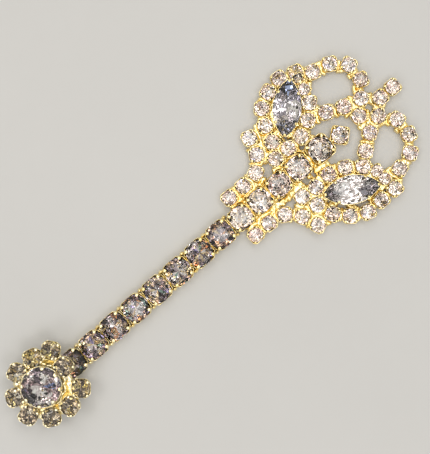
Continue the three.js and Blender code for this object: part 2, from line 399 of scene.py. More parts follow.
@dataclass(frozen=True)
class GoldPlate:
    """Bright yellow plating, paler where it is worn towards the knob, with painted shade that darkens
    it low down, near the backs of the settings.
    """

    name: str = "gold_plate"
    rich: Rgb = (1.0, 0.79, 0.33)
    lemon: Rgb = (1.0, 0.87, 0.50)
    worn: Rgb = (0.94, 0.86, 0.62)
    # The dark colour of the painted shade low down, where shade falls between the settings.
    painted_low_shade: Rgb = (0.50, 0.32, 0.10)
    worn_from: float = -8.0
    worn_to: float = -58.0
    # The height in millimetres under which the painted shade starts to darken the gold.
    painted_shade_height: float = 1.5
    polish: float = 0.17
    scatter: float = 0.14
    relief: float = 0.05

    def make(self) -> bpy.types.Material:
        """Builds the material."""
        shader = Shader(self.name)
        patches = shader.cloud(3.0)
        fine = shader.cloud(0.35, 3.0)
        wear = shader.axis(0).step(self.worn_from, self.worn_to) * (0.35 + patches * 0.9)
        tone = shader.mix(patches.step(0.35, 0.65), self.rich, self.lemon)
        tone = shader.mix(wear.held(), tone, self.worn)
        # Painted shade: a mottled mask that grows from the painted shade's height down to 0.1 mm and
        # darkens the gold low between the settings, where shade falls; it also makes the gold rougher
        # there.
        low = shader.axis(2).step(self.painted_shade_height, 0.1) * fine.step(0.35, 0.7)
        tone = shader.mix(low * 0.55, tone, self.painted_low_shade)
        return shader.finish(
            Base_Color=tone,
            Metallic=1.0,
            Roughness=self.polish + fine.step(0.3, 0.8) * self.scatter + low * 0.2,
            Normal=shader.bump(fine, self.relief, 0.35),
        )


@dataclass(frozen=True)
class FoilMirror:
    """The silvered back of a stone: each facet has a painted reflection colour, and small shards over
    it are painted duller or brighter as glints.
    """

    name: str = "foil_mirror"
    # Painted glints: the colours of the dullest and of the brightest shards.
    painted_dull_shard: Rgb = (0.70, 0.64, 0.65)
    painted_glint_shard: Rgb = (1.0, 1.0, 1.0)
    shard: float = 0.8
    tilt: float = 0.42
    polish: float = 0.05

    def make(self) -> bpy.types.Material:
        """Builds the material."""
        shader = Shader(self.name)
        # Each facet's painted reflection colour, drawn from a palette when the stone was set.
        facet = shader.out(shader.node("Attribute", {"attribute_name": PAINTED_REFLECTION}, {}))
        cloud = shader.cloud(0.5)
        sockets = {"Vector": shader.spot(), "Scale": 1.0 / (self.shard * MM)}
        cells = shader.node("TexVoronoi", {}, sockets)
        chance = shader.out(cells, 1)
        parts = shader.node("SeparateColor", {}, {"Color": chance})
        # Painted glints: each shard's colour is drawn between the dull one and the bright one.
        painted_glints = shader.mix(shader.out(parts), self.painted_dull_shard, self.painted_glint_shard)
        lean = shader.vector("SUBTRACT", chance, (0.5, 0.5, 0.5))
        lean = shader.vector("MULTIPLY", lean, (self.tilt,) * 3)
        facing = shader.out(shader.node("NewGeometry", {}, {}), 1)
        return shader.finish(
            # The colour: the facet's painted reflection times the shard's painted glint.
            Base_Color=shader.blend("MULTIPLY", 1.0, facet, painted_glints),
            Metallic=1.0,
            Roughness=self.polish + cloud.step(0.4, 0.8) * 0.06,
            Normal=shader.vector("NORMALIZE", shader.vector("ADD", facing, lean)),
        )


@dataclass(frozen=True)
class StoneGlass:
    """Clear cut glass with the faintest film on its facets."""

    name: str = "stone_glass"
    clear: Rgb = (1.0, 1.0, 1.0)
    film: Rgb = (0.985, 0.975, 0.97)
    index: float = 1.58

    def make(self) -> bpy.types.Material:
        """Builds the material."""
        shader = Shader(self.name)
        film = shader.cloud(1.6).step(0.45, 0.75)
        shader.finish(IOR=self.index, Transmission_Weight=1.0)
        return shader.finish(
            Base_Color=shader.mix(film, self.clear, self.film),
            Roughness=film * 0.02,
        )


@dataclass(frozen=True)
class StudioFloor:
    """A plain pale floor."""

    name: str = "pale_floor"
    light: Rgb = (0.50, 0.495, 0.485)
    shade: Rgb = (0.47, 0.465, 0.455)

    def make(self) -> bpy.types.Material:
        """Builds the material."""
        shader = Shader(self.name)
        tone = shader.mix(shader.cloud(60.0), self.light, self.shade)
        return shader.finish(Base_Color=tone, Roughness=0.6 + shader.cloud(5.0) * 0.2)


# ---- Stones ----


class ReflectionPalette(Enum):
    """Palettes of painted reflections for a stone's silvered facets, each colour with its share: pale
    ones stand for flashes of light, dark ones for facets in shade, coloured ones for fire.
    """

    SHAFT = (
        (0.30, (0.95, 0.93, 0.91)),
        (0.20, (0.60, 0.52, 0.56)),
        (0.20, (0.24, 0.20, 0.22)),
        (0.14, (0.92, 0.78, 0.50)),
        (0.05, (0.32, 0.50, 0.44)),
        (0.05, (0.46, 0.42, 0.74)),
        (0.06, (0.80, 0.46, 0.26)),
    )
    HEAD = (
        (0.46, (0.99, 0.97, 0.92)),
        (0.24, (0.94, 0.86, 0.79)),
        (0.12, (0.68, 0.56, 0.52)),
        (0.14, (0.98, 0.90, 0.74)),
        (0.04, (0.72, 0.76, 0.90)),
    )
    PETAL = (
        (0.30, (0.86, 0.83, 0.72)),
        (0.28, (0.52, 0.46, 0.36)),
        (0.26, (0.22, 0.19, 0.16)),
        (0.16, (0.76, 0.68, 0.36)),
    )
    KNOB = (
        (0.30, (0.98, 0.97, 0.94)),
        (0.28, (0.20, 0.17, 0.20)),
        (0.20, (0.56, 0.47, 0.48)),
        (0.06, (0.20, 0.26, 0.46)),
        (0.08, (0.76, 0.76, 0.42)),
        (0.08, (0.10, 0.10, 0.11)),
    )
    LEFT_HEEL = (
        (0.70, (1.0, 0.99, 0.94)),
        (0.20, (0.96, 0.90, 0.80)),
        (0.10, (0.80, 0.68, 0.60)),
    )
    LEFT_TIP = (
        (0.34, (0.97, 0.97, 0.97)),
        (0.22, (0.50, 0.62, 0.96)),
        (0.18, (0.86, 0.48, 0.34)),
        (0.16, (0.56, 0.56, 0.62)),
        (0.10, (0.95, 0.88, 0.62)),
    )
    RIGHT_HEEL = (
        (0.56, (0.99, 0.98, 0.96)),
        (0.30, (0.86, 0.80, 0.78)),
        (0.14, (0.64, 0.60, 0.60)),
    )
    RIGHT_TIP = (
        (0.58, (1.0, 1.0, 0.98)),
        (0.26, (0.42, 0.41, 0.45)),
        (0.16, (0.80, 0.76, 0.76)),
    )


class Wheel:
    """A lap that grinds flats on the piece in edit mode, each given by its slope in degrees."""

    @staticmethod
    def flat(turn: float, slope: float, reach: float, height: float) -> None:
        """Grinds one flat.

        Args:
            turn: the direction that the flat faces, seen from above.
            slope: 0 for a flat that faces up, 90 for an upright one, more for one that faces down.
            reach: how far from the upright axis the flat passes at the given height.
            height: that height.
        """
        away = Vector((math.cos(math.radians(turn)), math.sin(math.radians(turn)), 0.0))
        lean = math.radians(slope)
        point = away * reach + Vector((0.0, 0.0, height))
        Wheel.plane(point, away * math.sin(lean) + Vector((0.0, 0.0, math.cos(lean))))

    @staticmethod
    def plane(point: Vector, normal: Vector) -> None:
        """Grinds away all that lies beyond a plane."""
        bpy.ops.mesh.select_all(action="SELECT")
        bpy.ops.mesh.bisect(
            plane_co=point, plane_no=normal, use_fill=True, clear_outer=True, threshold=1e-5
        )


@dataclass(frozen=True)
class RoundStone:
    """A round brilliant, with its girdle at the origin's height and its foiled back below."""

    width: float
    crown: float
    depth: float
    girdle: float = 0.12
    fold: int = 8
    upper_steeper: float = 5.0  # how much steeper the facets beside the main ones are, in degrees
    star_flatter: float = 16.0
    culet_flatter: float = 7.0
    culet_share: float = 0.5  # where the flatter tier round the culet starts

    def cut(self) -> Piece:
        """Cuts the stone.

        Returns:
            The stone, with its foiled facets under material number 1.
        """
        radius = self.width / 2
        bpy.ops.mesh.primitive_cylinder_add(
            vertices=2 * self.fold,
            radius=radius,
            depth=self.crown + self.depth,
            location=(0.0, 0.0, (self.crown - self.depth) / 2),
        )
        stone = bpy.context.object
        Bench.settle(stone)
        table = radius * TABLE_SHARE
        crown_slope = math.degrees(math.atan2(self.crown - self.girdle, radius - table))
        back_slope = 180 - math.degrees(math.atan2(self.depth, radius))
        step = 360 / self.fold
        flank = radius * math.cos(math.radians(step / 4))
        inset = math.cos(math.radians(step / 2))
        with Bench.edit(stone):
            for facet in range(self.fold):
                turn = step * facet
                Wheel.flat(turn, crown_slope, radius, self.girdle)
                Wheel.flat(turn, back_slope, radius, 0.0)
                for side in (-step / 4, step / 4):
                    Wheel.flat(turn + side, crown_slope + self.upper_steeper, flank, self.girdle)
                    Wheel.flat(turn + side, back_slope - self.upper_steeper, flank, 0.0)
                star, culet = crown_slope - self.star_flatter, back_slope + self.culet_flatter
                share = self.culet_share
                Wheel.flat(turn + step / 2, star, table * inset, self.crown)
                Wheel.flat(turn + step / 2, culet, radius * share, -self.depth * share)
            Polisher.clean()
        return Polisher.foil(stone)


class Polisher:
    """The last work on a cut stone."""

    FOILED = -0.05  # a facet whose normal's Z is below this has foil behind it

    @staticmethod
    def clean() -> None:
        """Merges the corners that lie together on the piece in edit mode."""
        bpy.ops.mesh.select_all(action="SELECT")
        bpy.ops.mesh.remove_doubles(threshold=MERGE)
        bpy.ops.mesh.normals_make_consistent(inside=False)

    @staticmethod
    def foil(stone: Piece) -> Piece:
        """Marks the facets that look down for the foil."""
        for facet in stone.data.polygons:
            facet.material_index = int(facet.normal.z < Polisher.FOILED)
        return stone

    @staticmethod
    def painted_reflection(stone: Piece, reflection_palettes: Sequence[ReflectionPalette], luck: random.Random) -> None:
        """Draws a painted reflection colour for each facet of a stone, before it is set in its place.

        Args:
            stone: the stone.
            reflection_palettes: the palettes of painted reflections for its half towards -X and for
                its half towards +X.
            luck: the seeded draw.
        """
        layer = stone.data.color_attributes.new(PAINTED_REFLECTION, "FLOAT_COLOR", "CORNER")
        for facet in stone.data.polygons:
            # Each facet gets a painted reflection colour from the palette of its half.
            shares, reflection_colours = zip(*reflection_palettes[int(facet.center.x > 0)].value)
            painted_reflection = luck.choices(reflection_colours, shares)[0]
            for corner in facet.loop_indices:
                layer.data[corner].color = (*painted_reflection, 1.0)


# ---- Cups and claws ----


@dataclass(frozen=True)
class Claw:
    """A bent strip that leans in from +X, with its outer face at the origin."""

    width: float
    thick: float
    foot: float
    rise: float
    reach: float

    # Each bend: the share of the reach and of the rise that it ends at, its turn, its narrowing.
    BENDS = ((0.0, 0.55, 16.0, 0.96), (0.34, 0.96, 32.0, 0.86), (1.0, 1.0, 38.0, 0.72))

    def forge(self) -> Piece:
        """Makes the claw."""
        strip = Bench.block(
            (self.thick, self.width, self.foot), (-self.thick / 2, 0.0, -self.foot / 2)
        )
        with Bench.edit(strip):
            Bench.pick("faces", lambda face: face.normal.z > FLAT)
            tip = Vector((-self.thick / 2, 0.0, 0.0))
            for reach, rise, turn, narrowing in self.BENDS:
                inward = max(self.reach * reach, self.thick / 2)
                goal = Vector((-inward, 0.0, self.rise * rise))
                Bench.extrude(*(goal - tip))
                tip = goal
                bpy.ops.transform.rotate(
                    value=math.radians(turn), orient_axis="Y", center_override=tip
                )
                bpy.ops.transform.resize(value=(1.0, narrowing, 1.0), center_override=tip)
        Bench.modify(strip, "SUBSURF", levels=1, render_levels=1)
        Bench.hold(strip)
        bpy.ops.object.shade_smooth()
        return strip


@dataclass(frozen=True)
class CupSize:
    """A stamped square cup and its round stone."""

    side: float
    corner: float
    rim: float
    stone: float
    crown: float
    fold: int = 8
    base: float = 0.86  # the back's width, as a share of the rim's
    proud: float = 0.16  # how far the claws stand out from the cut corners
    wall: float = 0.2
    floor: float = 0.25  # the thickness under the stone
    dip: float = 0.17  # how far each side dips between its corners, as a share of the rim
    back_inset: tuple[float, float] = (0.16, 0.14)  # its width per side, and its depth

    @property
    def depth(self) -> float:
        """How far the stone's back reaches down."""
        return min(BACK_DEPTH * self.stone, self.rim - BACK_ROOM)

    @property
    def seat(self) -> float:
        """How high over the rim the stone's edge lies, so that its back clears the wall."""
        overhang = max(self.stone / 2 - self.side / 2 + self.wall, 0.0)
        return SEAT_GAP + overhang * self.depth / (self.stone / 2)

    @property
    def corner_reach(self) -> float:
        """How far the cut corners are from the middle."""
        return (self.side - self.corner) / math.sqrt(2)

    def stone_cut(self) -> RoundStone:
        """The stone that fits the cup."""
        return RoundStone(self.stone, self.crown, self.depth, fold=self.fold)

    def claw(self) -> Claw:
        """The claw that stands on each corner."""
        thick = CLAW_THICK + CLAW_THICK_PER_SIDE * self.side
        overlap = CLAW_OVERLAP * self.stone
        slope = self.crown / (self.stone / 2 * (1 - TABLE_SHARE))
        return Claw(
            width=self.corner,
            thick=thick,
            foot=self.rim * CLAW_FOOT,
            rise=self.seat + overlap * slope + thick * 0.6,
            reach=self.corner_reach + self.proud - self.stone / 2 + overlap,
        )

    def stamp(self) -> Piece:
        """Makes the cup's wall: square with cut corners, dipped along each side."""
        cup = Bench.block((self.side, self.side, self.rim), (0.0, 0.0, self.rim / 2))
        with Bench.edit(cup, "EDGE"):
            upright = self.rim * FLAT
            Bench.pick(
                "edges", lambda edge: abs(edge.verts[0].co.z - edge.verts[1].co.z) > upright
            )
            bpy.ops.mesh.bevel(offset=self.corner, segments=2, profile=0.35, affect="EDGES")
            Bench.pick(
                "edges",
                lambda edge: edge.calc_length() > self.side * 0.4
                and all(end.co.z > self.rim * FLAT for end in edge.verts),
            )
            bpy.ops.mesh.subdivide(number_cuts=2)
            bpy.ops.mesh.select_mode(type="FACE")
            Bench.pick("faces", Bench.is_back)
            Bench.widen(self.base)
            width, depth = self.back_inset
            bpy.ops.mesh.inset(thickness=self.side * width, depth=-depth)
            Bench.pick("faces", lambda face: face.normal.z > FLAT)
            bpy.ops.mesh.inset(thickness=self.wall)
            Bench.extrude(z=self.floor - self.rim)
            Bench.widen(0.6)
            bpy.ops.mesh.select_mode(type="VERT")
            Bench.pick(
                "verts",
                lambda end: end.co.z > self.rim * FLAT
                and min(abs(end.co.x), abs(end.co.y)) < self.side * 0.2,
            )
            bpy.ops.transform.translate(value=(0.0, 0.0, -self.dip * self.rim))
        Bench.modify(
            cup, "BEVEL", width=0.014 * self.side, segments=1, limit_method="ANGLE", angle_limit=SHARP
        )
        Bench.smooth(cup)
        return cup

    def make(self) -> Piece:
        """Makes the cup with its four claws."""
        claw = self.claw().forge()
        lifted = Matrix.Translation((self.corner_reach + self.proud, 0.0, self.rim))
        pieces = [self.stamp()]
        for quarter in range(4):
            turn = Matrix.Rotation(math.radians(45 + 90 * quarter), 4, "Z")
            pieces.append(Bench.copy(claw, turn @ lifted))
        bpy.data.objects.remove(claw)
        return Bench.join(pieces)


class Kind(Enum):
    """The cups in stock."""

    SMALL = CupSize(4.0, 0.8, 2.0, 3.75, 0.7)
    LOW = CupSize(3.3, 0.6, 1.6, 3.1, 0.6)
    PETAL = CupSize(4.85, 1.15, 2.2, 4.7, 0.9)
    SHAFT = CupSize(6.8, 1.3, 2.6, 6.84, 1.1, 12)
    COLUMN = CupSize(6.1, 1.1, 2.5, 6.0, 1.0, 10)
    COLUMN_END = CupSize(6.6, 1.1, 2.5, 6.3, 1.0, 10)
    FINIAL = CupSize(4.7, 0.65, 2.0, 4.3, 0.75)


@dataclass(frozen=True)
class Seat:
    """A cup of a kind at its place."""

    kind: Kind
    place: Place


class Stock:
    """Cups and stones that are modelled once, and handed out as copies."""

    def __init__(self, gold: bpy.types.Material, glass: bpy.types.Material,
                 foil: bpy.types.Material) -> None:
        self.gold = gold
        self.glass = glass
        self.foil = foil
        self.luck = random.Random(SEED)
        self.cups: dict[Kind, Piece] = {}
        self.stones: dict[Kind, Piece] = {}
        for kind in Kind:
            self.cups[kind] = kind.value.make()
            self.stones[kind] = kind.value.stone_cut().cut()
            Bench.dress(self.cups[kind], gold)
            Bench.dress(self.stones[kind], glass, foil)

    def cup_copies(self, seats: Sequence[Seat]) -> list[Piece]:
        """A cup at each seat."""
        return [Bench.copy(self.cups[seat.kind], seat.place.matrix()) for seat in seats]

    def place_stone(self, master: Piece, place: Place, reflection_palettes: Sequence[ReflectionPalette],
                    tilt: float = 3.0) -> Piece:
        """Sets a stone by hand, a little turned and tilted.

        Args:
            master: the stone to copy.
            place: the middle of its girdle.
            reflection_palettes: the palettes of painted reflections for the facets of its two halves.
            tilt: the most that it tilts, in degrees.

        Returns:
            The stone, settled in the row frame.
        """
        lean = math.radians(self.luck.uniform(-tilt, tilt))
        nod = math.radians(self.luck.uniform(-tilt, tilt))
        spot = place.matrix() @ Matrix.Rotation(lean, 4, "X") @ Matrix.Rotation(nod, 4, "Y")
        stone = Bench.copy(master, spot)
        Polisher.painted_reflection(stone, reflection_palettes, self.luck)
        Bench.settle(stone)
        return stone

    def stone(self, seat: Seat, foil: ReflectionPalette) -> Piece:
        """The stone of a cup, turned by chance; foil is the palette of its facets' painted
        reflections.
        """
        height = seat.kind.value.rim + seat.kind.value.seat
        turned = Place(seat.place.x, seat.place.y, self.luck.uniform(0, 45), seat.place.z + height)
        return self.place_stone(self.stones[seat.kind], turned, (foil, foil))

    def clear(self) -> None:
        """Puts the masters away."""
        for master in [*self.cups.values(), *self.stones.values()]:
            bpy.data.objects.remove(master)


# ---- Solder ----


@dataclass(frozen=True)
class Drop:
    """One drop of solder: its place, its height and how far it spreads both ways."""

    place: Place
    height: float
    along: float
    across: float


@dataclass(frozen=True)
class Solder:
    """Drops of solder that have run together."""

    voxel: float = 0.24
    back: float = 0.05  # how far its flat back is over the backs of the settings
    keep: float = 0.45  # the share of its faces that is kept
    waves: float = 0.16
    grain: float = 0.9
    ladle: int = 40  # how many drops are made as one mesh

    def pour(self, name: str, drops: Sequence[Drop], gold: bpy.types.Material) -> Piece:
        """Runs drops into one lumpy piece and delivers it.

        Args:
            name: the piece's name.
            drops: the drops, in the row frame.
            gold: its finish.

        Returns:
            The solder.
        """
        ladles = [drops[start:start + self.ladle] for start in range(0, len(drops), self.ladle)]
        lump = Bench.join([self.drip(ladle) for ladle in ladles])
        Bench.modify(lump, "REMESH", mode="VOXEL", voxel_size=self.voxel)
        ripple = bpy.data.textures.new(name + "_ripple", "CLOUDS")
        ripple.noise_scale = self.grain
        Bench.modify(lump, "DISPLACE", texture=ripple, strength=self.waves, mid_level=0.5)
        Bench.modify(lump, "SMOOTH", factor=0.5, iterations=3)
        Bench.modify(lump, "DECIMATE", ratio=self.keep)
        low = min(drop.place.z for drop in drops) + self.back
        with Bench.edit(lump):
            Wheel.plane(Vector((0.0, 0.0, low)), Vector((0.0, 0.0, -1.0)))
        lump.scale = (MM, MM, MM)
        Bench.settle(lump)
        Bench.smooth(lump, 60.0)
        Bench.dress(lump, gold)
        return Bench.deliver(lump, name, Slot.GOLD)

    SUNK = 0.4  # how high a drop's middle is, as a share of its height; the rest is its radius

    @staticmethod
    def drip(drops: Sequence[Drop]) -> Piece:
        """Makes a few drops as one mesh."""
        bpy.ops.mesh.primitive_ico_sphere_add(subdivisions=2, radius=0.1)
        lump = bpy.context.object
        with Bench.edit(lump):
            bpy.ops.mesh.select_all(action="SELECT")
            bpy.ops.mesh.delete(type="VERT")
            for drop in drops:
                bpy.ops.mesh.primitive_ico_sphere_add(
                    subdivisions=2,
                    radius=1.0,
                    location=drop.place.lifted(drop.height * Solder.SUNK).spot(),
                    rotation=(0.0, 0.0, math.radians(drop.place.turn)),
                    scale=(drop.along, drop.across, drop.height * (1 - Solder.SUNK)),
                )
        return lump

    @staticmethod
    def welds(seats: Sequence[Seat], luck: random.Random) -> list[Drop]:
        """Drops on both sides of each joint of a straight row."""
        drops = []
        for one, other in zip(seats, seats[1:]):
            size = one.kind.value
            for side in (1, -1):
                spot = Place(
                    (one.place.x + other.place.x) / 2,
                    one.place.y + side * (size.side / 2 - 0.62),
                )
                spread = luck.uniform(0.62, 0.85)
                drops.append(Drop(spot, size.rim * luck.uniform(0.95, 1.1), spread, 0.6))
        return drops

    @staticmethod
    def joints(seats: Sequence[Seat], reach: float, height: float = 0.75) -> list[Drop]:
        """A drop in each narrow gap between two cups.

        Args:
            seats: the cups.
            reach: the widest gap that solder bridges.
            height: the drops' height, as a share of the lower cup's.

        Returns:
            The drops.
        """
        drops = []
        for index, one in enumerate(seats):
            for other in seats[index + 1:]:
                run = Vector((other.place.x - one.place.x, other.place.y - one.place.y))
                halves = [seat.kind.value.side / 2 for seat in (one, other)]
                gap = run.length - sum(halves)
                if gap > reach:
                    continue
                share = (halves[0] + gap / 2) / run.length
                spot = Place(
                    one.place.x + run.x * share,
                    one.place.y + run.y * share,
                    math.degrees(math.atan2(run.y, run.x)),
                    min(one.place.z, other.place.z),
                )
                rim = min(one.kind.value.rim, other.kind.value.rim)
                drops.append(Drop(spot, rim * height, 0.45 + max(gap, 0) * 0.5, min(halves) * 0.5))
        return drops


@dataclass(frozen=True)
class Island:
    """Something that solder runs up against, seen from above: a square with rounded edges."""

    spot: Vector
    half: float
    rounding: float
    turn: float = 0.0

    @classmethod
    def of(cls, seat: "Seat") -> "Island":
        """The island that a cup makes."""
        half = seat.kind.value.side / 2 - 0.4
        return cls(Vector((seat.place.x, seat.place.y)), half, 0.3, seat.place.turn)

    def gap(self, point: Vector) -> float:
        """How far a point is from the edge."""
        away = Matrix.Rotation(-math.radians(self.turn), 2) @ (point - self.spot)
        outside = Vector((max(abs(away.x) - self.half, 0.0), max(abs(away.y) - self.half, 0.0)))
        return outside.length - self.rounding


@dataclass(frozen=True)
class Web:
    """The solder that fills the narrow spaces of the head."""

    islands: tuple[Island, ...]
    width: float = 1.5
    step: float = 0.6
    facing: float = -0.3
    low: float = 1.2
    high: float = 1.75

    def drops(self, luck: random.Random) -> list[Drop]:
        """Drops on a jittered grid, wherever two islands stand close on both sides."""
        corners = [island.spot for island in self.islands]
        start = Vector((min(c.x for c in corners), min(c.y for c in corners)))
        end = Vector((max(c.x for c in corners), max(c.y for c in corners)))
        drops = []
        for column in range(int((end.x - start.x) / self.step) + 1):
            for row in range(int((end.y - start.y) / self.step) + 1):
                jitter = Vector((luck.uniform(-0.2, 0.2), luck.uniform(-0.2, 0.2)))
                height = luck.uniform(self.low, self.high)
                spread = luck.uniform(0.46, 0.62)
                point = start + Vector((column, row)) * self.step + jitter
                if self.bridged(point):
                    drops.append(Drop(Place(point.x, point.y), height, spread, spread))
        return drops

    def bridged(self, point: Vector) -> bool:
        """Tells whether a point lies in a gap that solder can bridge."""
        near = []
        for island in self.islands:
            gap = island.gap(point)
            if gap < 0.0:
                return False
            if gap < self.width:
                near.append((gap, (island.spot - point).normalized()))
        return any(
            one[0] + other[0] < self.width and one[1].dot(other[1]) < self.facing
            for index, one in enumerate(near)
            for other in near[index + 1:]
        )


# ---- Layout ----


class Layout:
    """Places in the row frame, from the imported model."""

    @staticmethod
    def middle(node: str) -> Place:
        """The middle of a node's underside, in millimetres."""
        low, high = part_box(node)
        return Place((low.x + high.x) / 2 / MM, (low.y + high.y) / 2 / MM, 0.0, low.z / MM)

    @staticmethod
    def grounded(nodes: Sequence[str]) -> list[Vector]:
        """Where the stones of some nodes stand, seen from above."""
        return [Vector((Layout.middle(node).x, Layout.middle(node).y)) for node in nodes]

    @staticmethod
    def walk(start: Vector, pitch: float, links: Sequence[float]) -> list[Vector]:
        """The middles of a chain's cups.

        Args:
            start: the first middle.
            pitch: the length of a link.
            links: the direction of each link in degrees.

        Returns:
            One more middle than there are links.
        """
        spots = [start]
        for link in links:
            turn = math.radians(link)
            spots.append(spots[-1] + pitch * Vector((math.cos(turn), math.sin(turn))))
        return spots

    @staticmethod
    def turned(spots: Sequence[Vector]) -> list[Place]:
        """Turns each cup of a chain to the mean of the links beside it."""
        headings = [
            math.degrees(math.atan2(end.y - start.y, end.x - start.x))
            for start, end in zip(spots, spots[1:])
        ]
        places = []
        for index, spot in enumerate(spots):
            before = headings[max(index - 1, 0)]
            after = headings[min(index, len(headings) - 1)]
            bend = (after - before + 180) % 360 - 180
            places.append(Place(spot.x, spot.y, before + bend / 2))
        return places


# ---- The knob ----


@dataclass
class KnobFlower:
    """The tall round setting with its large stone, and the ring of petals round its waist."""

    stock: Stock
    rim_radius: float = 5.25
    rim: float = 7.3
    waist: float = 4.0
    neck: float = 6.3
    foot_share: float = 0.74  # widths up the setting, as shares of the rim's
    waist_share: float = 0.8
    neck_share: float = 0.84
    wall: float = 0.22
    hollow: float = 3.2
    stone: float = 10.1
    crown: float = 2.0
    depth: float = 3.6
    girdle: float = 0.25
    stone_turn: float = 8.0
    claw: Claw = Claw(1.5, 0.42, 1.4, 1.0, 1.0)
    claws: int = 8
    petals: int = 9
    panels: tuple[float, float] = (11.0, 34.0)  # from one claw, in degrees
    petal_base: float = 4.0
    flower_shift: tuple[float, float] = (0.4, -0.6)
    petal_gap: float = 1.4  # the widest gap between petals that solder bridges
    collar_radius: float = 6.05
    collar_drops: int = 40
    collar_drop: tuple[float, float, float] = (0.95, 1.0, 0.62)

    def build(self) -> None:
        """Builds and delivers the knob's pieces."""
        middle = Layout.middle("knob_stone")
        place = Place(middle.x, middle.y)
        setting = self.setting()
        setting.matrix_world = place.matrix()
        Bench.settle(setting)
        Bench.dress(setting, self.stock.gold)
        Bench.deliver(setting, "knob_cup", Slot.GOLD, "knob_setting")
        master = RoundStone(self.stone, self.crown, self.depth, self.girdle, 12).cut()
        Bench.dress(master, self.stock.glass, self.stock.foil)
        seat = Place(middle.x, middle.y, self.stone_turn, self.rim + SEAT_GAP)
        stone = self.stock.place_stone(master, seat, (ReflectionPalette.KNOB, ReflectionPalette.KNOB), 1.0)
        bpy.data.objects.remove(master)
        Bench.deliver(stone, "knob_crystal", Slot.STONE, "knob_stone")
        self.petal_ring(middle)

    def setting(self) -> Piece:
        """Makes the setting with its claws."""
        low = self.rim_radius * self.foot_share
        bpy.ops.mesh.primitive_cylinder_add(
            vertices=32, radius=low, depth=self.waist, location=(0.0, 0.0, self.waist / 2)
        )
        cup = bpy.context.object
        Bench.settle(cup)
        with Bench.edit(cup):
            Bench.pick("faces", Bench.is_back)
            bpy.ops.mesh.inset(thickness=1.0, depth=-0.2)
            Bench.pick("faces", Bench.is_top)
            Bench.widen(self.waist_share / self.foot_share)
            Bench.extrude(z=self.neck - self.waist)
            Bench.widen(self.neck_share / self.waist_share)
            Bench.extrude(z=self.rim - self.neck)
            Bench.widen(1 / self.neck_share)
            bpy.ops.mesh.inset(thickness=self.wall)
            Bench.extrude(z=-self.hollow)
            Bench.widen(0.55)
            Bench.pick("faces", self.panel)
            bpy.ops.mesh.inset(thickness=0.28, depth=-0.3)
        Bench.modify(cup, "BEVEL", width=0.09, segments=2, limit_method="ANGLE", angle_limit=SHARP)
        Bench.smooth(cup)
        claw = self.claw.forge()
        claws = []
        lifted = Matrix.Translation((self.rim_radius, 0, self.rim))
        for number in range(self.claws):
            turn = Matrix.Rotation(math.radians(360 / self.claws * number), 4, "Z")
            claws.append(Bench.copy(claw, turn @ lifted))
        bpy.data.objects.remove(claw)
        return Bench.join([cup, *claws])

    def panel(self, face: bmesh.types.BMFace) -> bool:
        """Tells the upright faces between the claws, below the waist, from the rest."""
        middle = face.calc_center_median()
        turn = math.degrees(math.atan2(middle.y, middle.x)) % (360 / self.claws)
        outward = face.normal.x * middle.x + face.normal.y * middle.y > 0
        upright = abs(face.normal.z) < 0.3
        start, end = self.panels
        return outward and upright and middle.z < self.waist and start < turn < end

    def petal_ring(self, middle: Place) -> None:
        """Builds the petals, their stones and the collar that carries them."""
        heart = Vector((middle.x + self.flower_shift[0], middle.y + self.flower_shift[1]))
        nodes = [f"petal_stone_{number + 1}" for number in range(self.petals)]
        seats = []
        for spot in Layout.grounded(nodes):
            away = spot - heart
            turn = math.degrees(math.atan2(away.y, away.x))
            seats.append(Seat(Kind.PETAL, Place(spot.x, spot.y, turn, self.petal_base)))
        cups = Bench.join(self.stock.cup_copies(seats))
        Bench.deliver(cups, "petal_cups", Slot.GOLD, "petal_settings")
        for number, (seat, node) in enumerate(zip(seats, nodes), 1):
            crystal = self.stock.stone(seat, ReflectionPalette.PETAL)
            Bench.deliver(crystal, f"petal_crystal_{number}", Slot.STONE, node)
        drops = Solder.joints(seats, self.petal_gap) + self.collar(middle, heart)
        Solder().pour("collar_solder", drops, self.stock.gold)

    def collar(self, middle: Place, heart: Vector) -> list[Drop]:
        """The ring of solder under the petals, and the lumps that fill it up to the setting.

        Args:
            middle: the middle of the knob's setting.
            heart: the middle of the flower, a little to one side.

        Returns:
            The drops.
        """
        luck = self.stock.luck
        centre = Vector((middle.x, middle.y))
        drops = []
        for step in range(self.collar_drops):
            turn = 360 / self.collar_drops * step
            away = Vector((math.cos(math.radians(turn)), math.sin(math.radians(turn))))
            spot = heart + away * self.collar_radius
            ring = Place(spot.x, spot.y, turn, self.petal_base)
            drops.append(Drop(ring, *self.collar_drop))
            spot = centre + away * (self.collar_radius - luck.uniform(0.1, 0.9))
            height, spread = luck.uniform(1.4, 2.6), luck.uniform(0.5, 0.75)
            lump = Place(spot.x, spot.y, turn, self.petal_base)
            drops.append(Drop(lump, height, spread, spread))
        return drops


# ---- The shaft and the head's column ----


